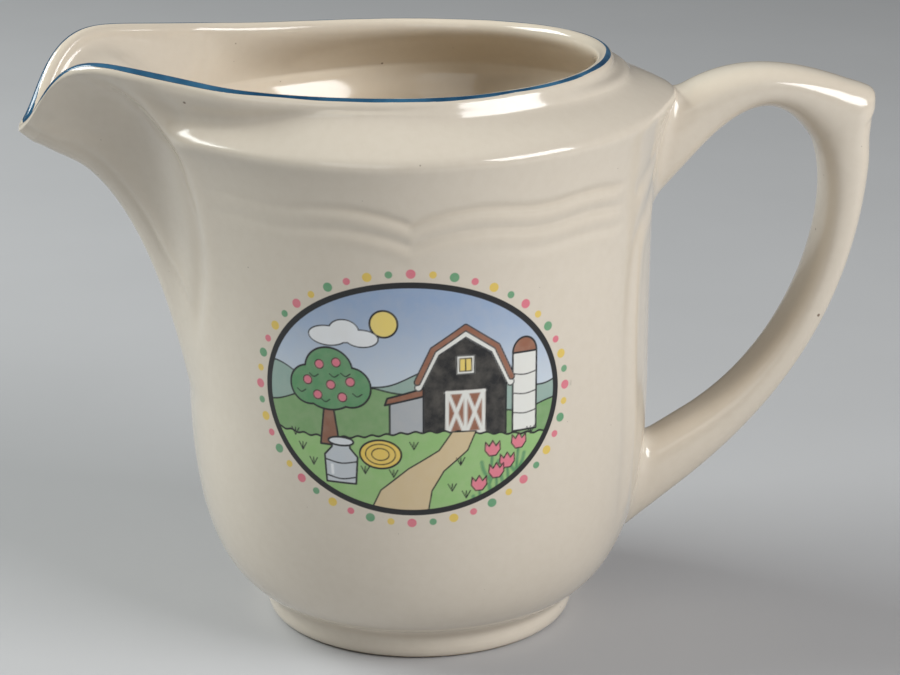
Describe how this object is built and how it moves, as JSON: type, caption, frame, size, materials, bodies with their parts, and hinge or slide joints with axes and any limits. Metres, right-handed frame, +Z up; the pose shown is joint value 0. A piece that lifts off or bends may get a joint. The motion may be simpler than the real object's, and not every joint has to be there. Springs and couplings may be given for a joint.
{
  "type": "creamer jug",
  "caption": "Glazed stoneware creamer jug with a saddle rim, a broad V spout, a spurred strap handle and a turned foot, for holding and pouring cream or milk.",
  "frame": {"origin": "centre of the foot on the table that the jug stands on", "axes": "+Z up the jug's axis, -X towards the spout, +X towards the handle, -Y out of the decorated side"},
  "size_m": [0.1521, 0.0878, 0.1059],
  "materials": {
    "ivory_glaze": "glossy ivory glaze with fine iron specks",
    "bare_clay": "dry unglazed stoneware",
    "cobalt_line": "hand-banded underglaze blue",
    "transfer_print": "fired-on coloured print"
  },
  "bodies": {
    "root": {"body": "ivory_glaze", "spout": "ivory_glaze", "foot_ring": "bare_clay", "handle": "ivory_glaze", "upper_handle_slip": "ivory_glaze", "lower_handle_slip": "ivory_glaze", "swag_relief": "ivory_glaze", "rim_line": "cobalt_line", "picture": "transfer_print"}
  },
  "joints": []
}
